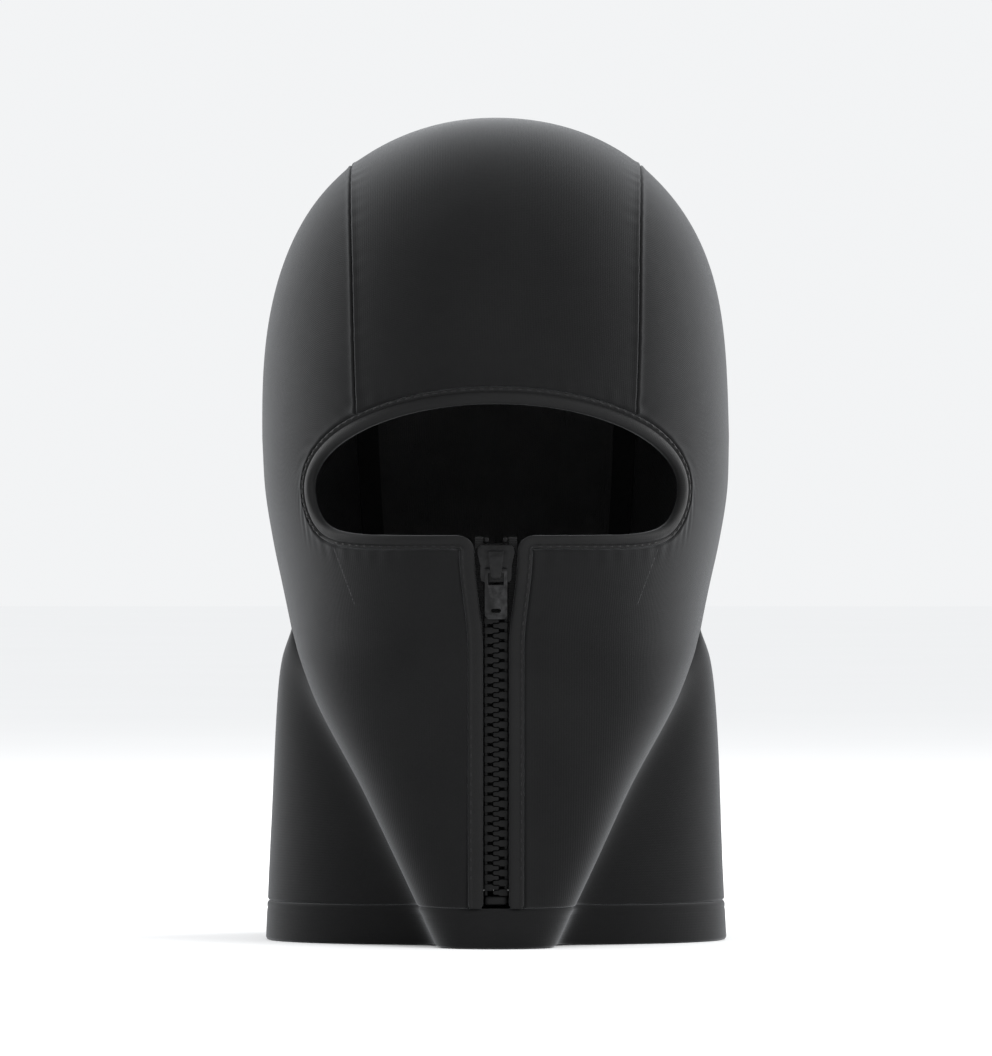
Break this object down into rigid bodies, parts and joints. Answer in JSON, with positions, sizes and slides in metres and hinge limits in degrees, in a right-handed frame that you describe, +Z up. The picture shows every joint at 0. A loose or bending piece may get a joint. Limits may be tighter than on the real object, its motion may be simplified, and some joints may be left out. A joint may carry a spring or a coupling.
{
  "type": "balaclava",
  "caption": "Close-fitting black jersey balaclava with a wide eye opening, a flared neck and a sliding zip down the front.",
  "frame": {"origin": "middle of the hem, in the plane the hood rests on, under the middle of the hood's box", "axes": "+Z up to the top of the head, -Y out of the face, +X to the wearer's left"},
  "size_m": [0.168, 0.21, 0.2958],
  "materials": {
    "jersey": "matte",
    "binding": "matte",
    "tape": "matte",
    "moulded": "satin",
    "painted": "satin"
  },
  "bodies": {
    "hood": {"crown_panel": "jersey", "side_panel_left": "jersey", "side_panel_right": "jersey", "neck_panel": "jersey", "hem_band": "jersey", "brow_binding": "binding", "front_binding_left": "binding", "front_binding_right": "binding", "neck_seam_tape": "tape", "crown_seam_tape_left": "tape", "crown_seam_tape_right": "tape", "zip_tape_left": "tape", "zip_tape_right": "tape", "zip_teeth_left": "moulded", "zip_teeth_right": "moulded", "top_stop_left": "moulded", "top_stop_right": "moulded", "bottom_stop": "moulded"},
    "zip_slider": {"slider_body": "painted", "slider_bridge": "painted"},
    "zip_pull": {"pull_tab": "painted"}
  },
  "joints": [
    {"name": "zip_travel", "type": "slide", "parent": "hood", "child": "zip_slider", "axis": [0, 0.1158, -0.9933], "range_m": [0, 0.11], "deforming": ["zip_teeth_left", "zip_teeth_right", "zip_tape_left", "zip_tape_right", "front_binding_left", "front_binding_right"]},
    {"name": "pull_swing", "type": "hinge", "parent": "zip_slider", "child": "zip_pull", "pos_m": [0, -0.10209, 0.13297], "axis": [-1, 0, 0], "range_deg": [0, 135]}
  ]
}
